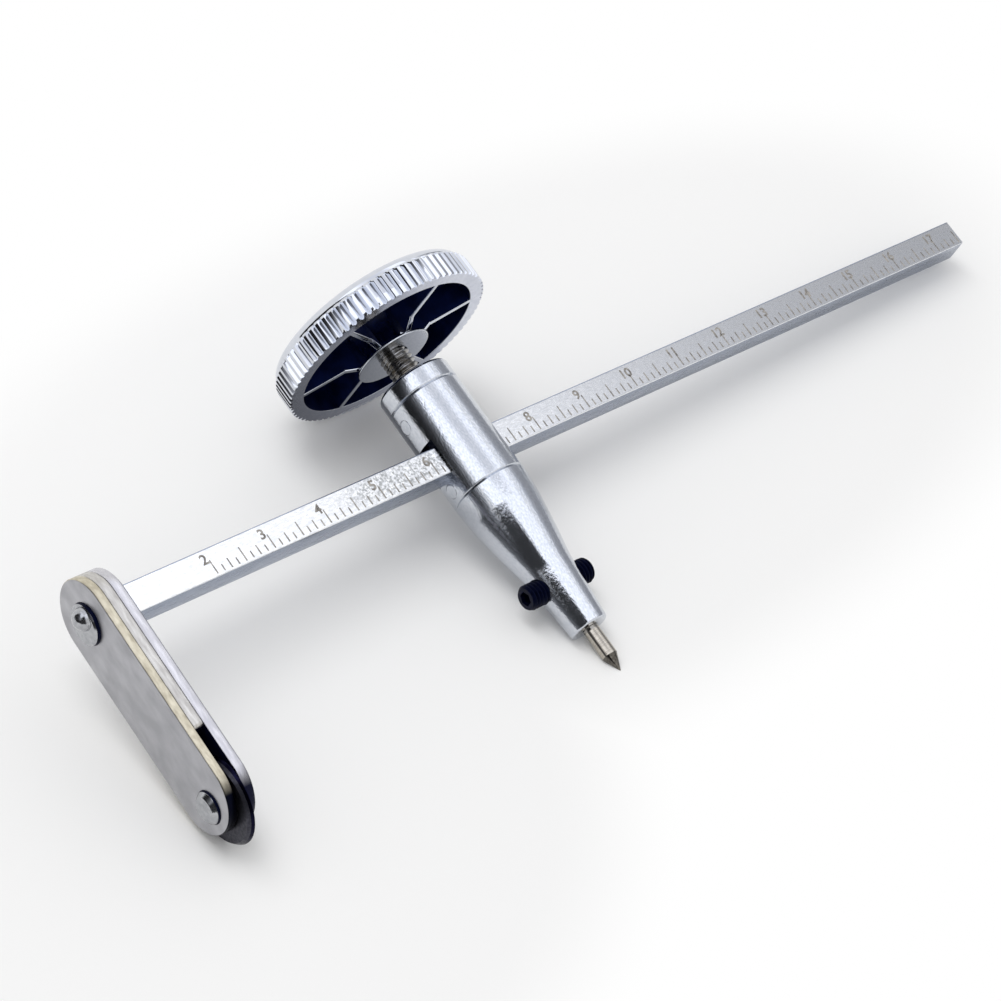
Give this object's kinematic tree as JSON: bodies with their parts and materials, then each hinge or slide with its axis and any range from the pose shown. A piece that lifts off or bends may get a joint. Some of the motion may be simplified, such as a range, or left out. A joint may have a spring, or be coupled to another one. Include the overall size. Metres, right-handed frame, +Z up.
{
  "type": "drywall circle cutter",
  "caption": "Hand tool that cuts circles in drywall: a plated pivot barrel with centre pin and clamp knob, a square scale bar sliding through it, and a riveted head with a cutter wheel.",
  "frame": {"origin": "point of the centre pin, where the tool touches the bench it lies on", "axes": "+Z up from the bench, +X along the scale bar towards its free end, +Y towards the knob; the tool rests on the pin's point, the knob's rim and the wheel's edge, so bar and barrel lean a little"},
  "size_m": [0.2251, 0.0856, 0.0448],
  "materials": {
    "plated_casting": "bright plating on a casting, slightly rough",
    "satin_bar": "satin plating with a dark engraved inch scale",
    "plate_steel": "ground steel plate with light scuffs",
    "black_oxide": "black oxide",
    "tool_steel": "hardened steel",
    "brass": "turned"
  },
  "bodies": {
    "pivot": {"barrel": "plated_casting", "collar": "plated_casting", "nose": "plated_casting", "collar_pin": "plated_casting", "nose_pin": "plated_casting"},
    "clamp": {"clamp_pad": "black_oxide"},
    "knob": {"knob": "plated_casting", "clamp_screw": "tool_steel", "flange_washer": "plated_casting"},
    "arm": {"scale_bar": "satin_bar", "inner_plate": "plate_steel", "spacer": "plate_steel", "outer_plate": "plate_steel", "head_rivet": "plate_steel", "axle_rivet": "plate_steel", "wheel_washers": "plate_steel"},
    "wheel": {"cutter_wheel": "tool_steel", "wheel_bush": "brass"},
    "pin": {"center_pin": "tool_steel"},
    "left_screw": {"set_screw_left": "black_oxide"},
    "right_screw": {"set_screw_right": "black_oxide"}
  },
  "joints": [
    {"name": "clamp_travel", "type": "slide", "parent": "pivot", "child": "clamp", "axis": [0.0164, 0.9608, 0.2769], "range_m": [0, 0.002]},
    {"name": "knob_turn", "type": "hinge", "parent": "clamp", "child": "knob", "pos_m": [0.00125, 0.07302, 0.02104], "axis": [0.0164, 0.9608, 0.2769], "range_deg": [0, 720]},
    {"name": "arm_slide", "type": "slide", "parent": "pivot", "child": "arm", "axis": [0.9983, 0, -0.0591], "range_m": [-0.1204, 0.0574]},
    {"name": "wheel_spin", "type": "hinge", "parent": "arm", "child": "wheel", "pos_m": [-0.08246, 0.01134, 0.00816], "axis": [0.9983, 0, -0.0591], "continuous": true},
    {"name": "pin_extend", "type": "slide", "parent": "pivot", "child": "pin", "axis": [-0.0164, -0.9608, -0.2769], "range_m": [-0.003, 0.008]},
    {"name": "left_screw_travel", "type": "slide", "parent": "pivot", "child": "left_screw", "axis": [-0.9983, 0, 0.0591], "range_m": [-0.0006, 0.003]},
    {"name": "right_screw_travel", "type": "slide", "parent": "pivot", "child": "right_screw", "axis": [0.9983, 0, -0.0591], "range_m": [0, 0.003]}
  ],
  "couplings": [
    {"joint": "clamp_travel", "follows": "knob_turn", "m_per_rad": 0.000159}
  ]
}
